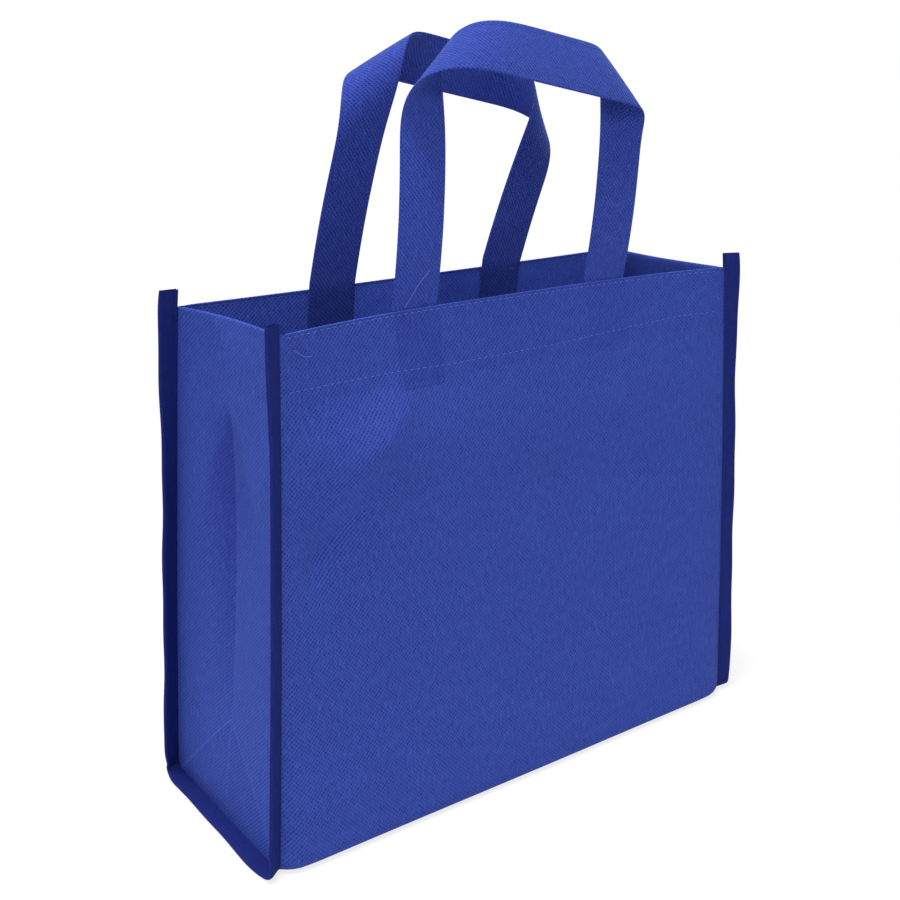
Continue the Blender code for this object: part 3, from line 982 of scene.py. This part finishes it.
def build_materials(cut):
    """cut is the length of the body sheet from hem edge to hem edge."""

    def body_zones(nodes, u, v):
        """Painted shade on the hems and, darker, over the strap ends, for less light through the doubled
        cloth; the inner hem painted lighter, most in the middle, for light through the cloth; a painted
        highlight along the rim folds.
        """
        middle = nodes.math("ABSOLUTE", nodes.minus(v, cut / 2))
        from_edge = nodes.minus(cut / 2, middle)
        ragged = nodes.noise(nodes.node("ShaderNodeCombineXYZ", X=u), 90.0, 2.0)
        sag = nodes.times_add(nodes.times(u, u), 0.15, -0.0045)
        wavy = nodes.times_add(nodes.minus(ragged, 0.5), 0.0030, from_edge)
        edge = nodes.plus(wavy, sag)
        hem = nodes.step(edge, 2 * HEM - 0.0012, 2 * HEM + 0.0004, 1.0, 0.0)
        low = nodes.step(wavy, HEM + STRAP_TAIL - 0.0006, HEM + STRAP_TAIL + 0.0006, 1.0, 0.0)
        tails = None
        for key, is_front in (("front", True), ("back", False)):
            handle = HANDLES[key]
            on_side = nodes.math("LESS_THAN" if is_front else "GREATER_THAN", v, cut / 2)
            for sign, weight in ((-1, 1.0), (1, 0.5)):
                centre = handle["shift"] + sign * handle["spacing"] / 2
                strip = nodes.times(band(nodes, u, centre, STRAP_WIDTH / 2, 0.0006), on_side)
                strip = nodes.times(strip, weight)
                tails = strip if tails is None else nodes.plus(tails, strip)
        tails = nodes.times(tails, low)
        outside = nodes.math("GREATER_THAN", from_edge, HEM)
        tails = nodes.times(tails, outside)
        fold = band(nodes, from_edge, HEM + 0.0003, 0.0011, 0.0004)
        inner = nodes.step(from_edge, HEM - 0.0020, HEM - 0.0010, 1.0, 0.0)
        # Painted shade: the hem a little darker and the strap ends darker still, for less light through the
        # doubled cloth.
        shade = nodes.times_add(hem, -0.05, 1.0)
        shade = nodes.times_add(tails, -0.16, shade)
        # Painted light: the inner hem lighter, most in the middle, for light through the cloth.
        centre_painted_light = nodes.times_add(band(nodes, u, 0.0, 0.05, 0.04), 0.55, 1.0)
        shade = nodes.times_add(nodes.times(inner, centre_painted_light), 0.98, shade)
        # Painted highlight along the rim fold.
        shade = nodes.times_add(fold, 0.45, shade)
        raised = nodes.plus(nodes.times(tails, 0.0005), nodes.times(hem, 0.0003))
        return shade, raised

    def gusset_zones(nodes, u, v):
        """Painted shade on the hem and a painted highlight along the rim fold; on the old folds, paler
        crease lines, with painted shade in the hollow behind the middle crease, inside the top V and below
        the arms of the Y fold.
        """
        ragged = nodes.noise(nodes.node("ShaderNodeCombineXYZ", X=u), 90.0, 2.0)
        edge = nodes.times_add(nodes.minus(ragged, 0.5), 0.003, v)
        hem = nodes.step(edge, HEIGHT - HEM - 0.0006, HEIGHT - HEM + 0.0010)
        fold = band(nodes, v, HEIGHT, 0.0014, 0.0005)
        # Painted shade on the hem, for less light through the doubled cloth, and a painted highlight along
        # the rim fold.
        shade = nodes.times_add(hem, -0.04, 1.0)
        shade = nodes.times_add(fold, 0.45, shade)
        down = nodes.minus(Y_FOLD_TOP, v)
        away = nodes.times_add(down, -0.96, nodes.math("ABSOLUTE", u))
        below = nodes.step(v, Y_FOLD_TOP - 0.004, Y_FOLD_TOP, 1.0, 0.0)
        lower = nodes.times(band(nodes, away, 0.0, 0.0010, 0.0005), below)
        below = nodes.step(v, VALLEY_TOP - 0.012, VALLEY_TOP + 0.008, 1.0, 0.0)
        middle = nodes.times(band(nodes, u, -0.0004, 0.0006, 0.0005), below)
        creases = nodes.math("MAXIMUM", lower, nodes.times(middle, 0.8))
        shade = nodes.times_add(creases, 0.24, shade)
        # Painted shade below the arms of the Y fold.
        below = nodes.step(v, Y_FOLD_TOP - 0.008, Y_FOLD_TOP, 1.0, 0.0)
        foot = nodes.times(nodes.step(away, -0.002, 0.001, 1.0, 0.0), below)
        shade = nodes.times_add(foot, -0.10, shade)
        # Painted shade in the hollow on the back side of the middle crease.
        tall = nodes.times(nodes.step(v, 0.05, 0.16), nodes.step(v, 0.240, 0.264, 1.0, 0.0))
        hollow_painted_shade = nodes.times(nodes.step(u, -0.0006, 0.0008), nodes.step(u, 0.004, 0.026, 1.0, 0.0))
        shade = nodes.times_add(nodes.times(hollow_painted_shade, tall), -0.24, shade)
        # Painted shade inside the top V of the old fold.
        arm = nodes.times_add(nodes.minus(VALLEY_TOP, v), -0.40, nodes.math("ABSOLUTE", u))
        inside_v_painted_shade = nodes.times(nodes.step(arm, -0.006, 0.0015, 1.0, 0.0), nodes.step(v, 0.13, 0.23))
        shade = nodes.times_add(inside_v_painted_shade, -0.13, shade)
        return shade, nodes.times(hem, 0.0003)

    return {
        "body": cloth_material(
            "body_cloth", PANEL_BLUE, pitch=0.0028, rib=0.28, depth=0.00026, contrast=0.74,
            sheen=0.02, rough=0.75, zones=body_zones,
        ),
        "gusset": cloth_material(
            "gusset_cloth", PANEL_BLUE, pitch=0.0027, rib=0.40, depth=0.00018, contrast=0.56,
            sheen=0.02, rough=0.75, zones=gusset_zones,
        ),
        "strap": cloth_material(
            "strap_cloth", STRAP_BLUE, pitch=0.0028, rib=0.40, depth=0.00034, contrast=0.70,
            sheen=0.20, rough=0.70, cloud=0.06,
        ),
        "tape": cloth_material(
            "tape_cloth", NAVY, pitch=0.0024, rib=0.3, depth=0.00006, contrast=0.30,
            sheen=0.0, rough=0.80, cloud=0.16,
        ),
        "thread": thread_material("pale_thread", THREAD_BLUE),
        "strap_thread": thread_material("strap_thread", STRAP_THREAD),
        "tape_thread": thread_material("tape_thread", TAPE_THREAD),
    }


# Bag

def dress(piece, slot, *nodes):
    """Put a piece on the body, in place of its solids, which are hidden; slot is not used."""
    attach(piece, "root")
    if nodes:
        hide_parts(*nodes)
    return piece


def sew(name, rows, radius, material):
    dress(stitch_mesh(name, rows, radius, material), "thread")


def build_bag():
    """Every piece of the bag but its loose thread ends. Returns the materials."""
    rows, hem_count = body_stations()
    places = cloth_places(rows)
    cut = places[-1]
    materials = build_materials(cut)
    body = make_body(rows, hem_count, places, materials["body"])
    dress(body, "panel_cloth", "body_panel")

    for name, side_x in (("left", -1), ("right", 1)):
        gusset = make_gusset("gusset_cloth_" + name, side_x, materials["gusset"])
        dress(gusset, "panel_cloth", "gusset_" + name)
        tape, tape_flat = make_tape("binding_tape_" + name, side_x, materials["tape"])
        dress(tape, "binding_tape", "binding_" + name)
        sewn = tape_rows(side_x, 1) + tape_rows(side_x, -1)
        sew("binding_stitches_" + name, sewn, TAPE_THREAD_RADIUS, materials["tape_thread"])

    for key, seed in (("front", 11), ("back", 23)):
        strap = Strap(HANDLES[key])
        piece = make_strap("strap_" + key, strap, materials["strap"])
        dress(piece, "strap_cloth", "handle_" + key)
        sewn = strap_rows(strap, 1, seed) + strap_rows(strap, -1, seed + 1)
        sew("strap_stitches_" + key, sewn, STRAP_THREAD_RADIUS, materials["strap_thread"])

    hems = []
    for side, seed in ((-1, 3), (1, 5)):
        outward = Vector((0, side, 0))
        for line in (lambda x: HEIGHT - 0.0022, hem_line):
            hems += hem_row(side, line, 0.0, outward, seed)
            hems += hem_row(side, line, LAYER + SHEET, -outward, seed + 1)
    sew("hem_stitches", hems, HEM_THREAD_RADIUS, materials["thread"])
    return materials


def build_tails(materials):
    """Loose thread ends on the front hem, by x, z and lift, and on the front strap."""
    points = []
    for x, z, lift in (
        (-0.1592, 0.2957, 0.0003), (-0.1560, 0.2930, 0.0010),
        (-0.1525, 0.2912, 0.0013), (-0.1474, 0.2905, 0.0004),
    ):
        points.append(settled((x, panel_y(-1, x, z, -lift), z)))
    dress(thread_tail("loose_thread_hem", points, 0.00020, materials["thread"]), "thread")
    strap = Strap(HANDLES["front"])
    points = []
    for place, across, lift in (
        (STRAP_TAIL + 0.000, -0.0075, 0.0008), (STRAP_TAIL + 0.007, -0.0035, 0.0013),
        (STRAP_TAIL + 0.015, 0.0015, 0.0014), (STRAP_TAIL + 0.022, 0.0080, 0.0010),
    ):
        centre, _, normal = strap.frame_at(place, across)
        points.append(centre - normal * math.copysign(lift, normal.y))
    dress(thread_tail("loose_thread_strap", points, 0.00018, materials["thread"]), "thread")


# Studio

def seen_rays(nodes):
    """1 for what the camera sees straight, in a reflection or through glass, and 0 for other light."""
    path = nodes.tree.nodes.new("ShaderNodeLightPath")
    seen = nodes.math("MAXIMUM", path.outputs["Is Camera Ray"], path.outputs["Is Glossy Ray"])
    return nodes.math("MAXIMUM", seen, path.outputs["Is Transmission Ray"])


def build_floor():
    """A pale floor that the camera sees as white away from the object, with its shadow kept."""
    mesh = bpy.data.meshes.new("floor")
    corners = [(x * FLOOR_REACH, y * FLOOR_REACH, 0) for x, y in ((-1, -1), (1, -1), (1, 1), (-1, 1))]
    mesh.from_pydata(corners, [], [(0, 1, 2, 3)])
    floor = placed("floor", mesh)
    nodes = MaterialNodes("pale_floor")
    nodes.shader.inputs["Base Color"].default_value = (0.88, 0.88, 0.88, 1.0)
    nodes.shader.inputs["Roughness"].default_value = 0.9
    nodes.shader.inputs["Specular IOR Level"].default_value = 0.0
    glow = nodes.tree.nodes.new("ShaderNodeEmission")
    glow.inputs["Color"].default_value = (1.0, 1.0, 1.0, 1.0)
    glow.inputs["Strength"].default_value = 1.0
    mix = nodes.tree.nodes.new("ShaderNodeMixShader")
    place = nodes.tree.nodes.new("ShaderNodeNewGeometry").outputs["Position"]
    away = nodes.tree.nodes.new("ShaderNodeVectorMath")
    away.operation = "LENGTH"
    nodes.put(away.inputs[0], place)
    share = nodes.step(away.outputs["Value"], 0.20, 0.75, 0.75, 1.0)
    nodes.put(mix.inputs[0], nodes.times(seen_rays(nodes), share))
    nodes.put(mix.inputs[1], nodes.shader.outputs[0])
    nodes.put(mix.inputs[2], glow.outputs[0])
    nodes.put(nodes.tree.nodes["Material Output"].inputs["Surface"], mix.outputs[0])
    mesh.materials.append(nodes.material)


def build_world():
    """Plain soft light, seen as white by the camera and in reflections."""
    world = bpy.data.worlds.new("studio")
    bpy.context.scene.world = world
    world.use_nodes = True
    nodes = Nodes(world.node_tree)
    background = nodes.tree.nodes["Background"]
    background.inputs["Color"].default_value = (1.0, 1.0, 1.0, 1.0)
    strength = nodes.tree.nodes.new("ShaderNodeMapRange")
    strength.inputs["To Min"].default_value = WORLD_STRENGTH
    strength.inputs["To Max"].default_value = 1.0
    nodes.put(strength.inputs["Value"], seen_rays(nodes))
    nodes.put(background.inputs["Strength"], strength.outputs[0])


def build_lights():
    for name, place, size, power in LAMPS:
        light = bpy.data.lights.new(name, "AREA")
        light.shape = "DISK"
        light.size = size
        light.energy = power
        lamp = placed(name, light)
        lamp.location = place
        lamp.rotation_euler = (Vector(LAMP_TARGET) - Vector(place)).to_track_quat("-Z", "Y").to_euler()


def build_camera():
    yaw, pitch, roll = (math.radians(angle) for angle in CAMERA_TURN)
    level = math.cos(pitch)
    ahead = Vector((math.sin(yaw) * level, math.cos(yaw) * level, -math.sin(pitch)))
    level_right = Vector((math.cos(yaw), -math.sin(yaw), 0.0))
    level_up = level_right.cross(ahead)
    right = level_right * math.cos(roll) + level_up * math.sin(roll)
    up = level_up * math.cos(roll) - level_right * math.sin(roll)
    data = bpy.data.cameras.new("camera")
    data.lens = CAMERA_LENS
    data.sensor_width = 36.0
    data.shift_y = CAMERA_SHIFT
    camera = placed("camera", data)
    matrix = Matrix((right, up, -ahead)).transposed().to_4x4()
    matrix.translation = Vector(CAMERA_PLACE)
    camera.matrix_world = matrix
    bpy.context.scene.camera = camera


def main():
    materials = build_bag()
    build_tails(materials)
    build_floor()
    build_world()
    build_lights()
    build_camera()
    bpy.context.scene.view_settings.view_transform = "Standard"


main()
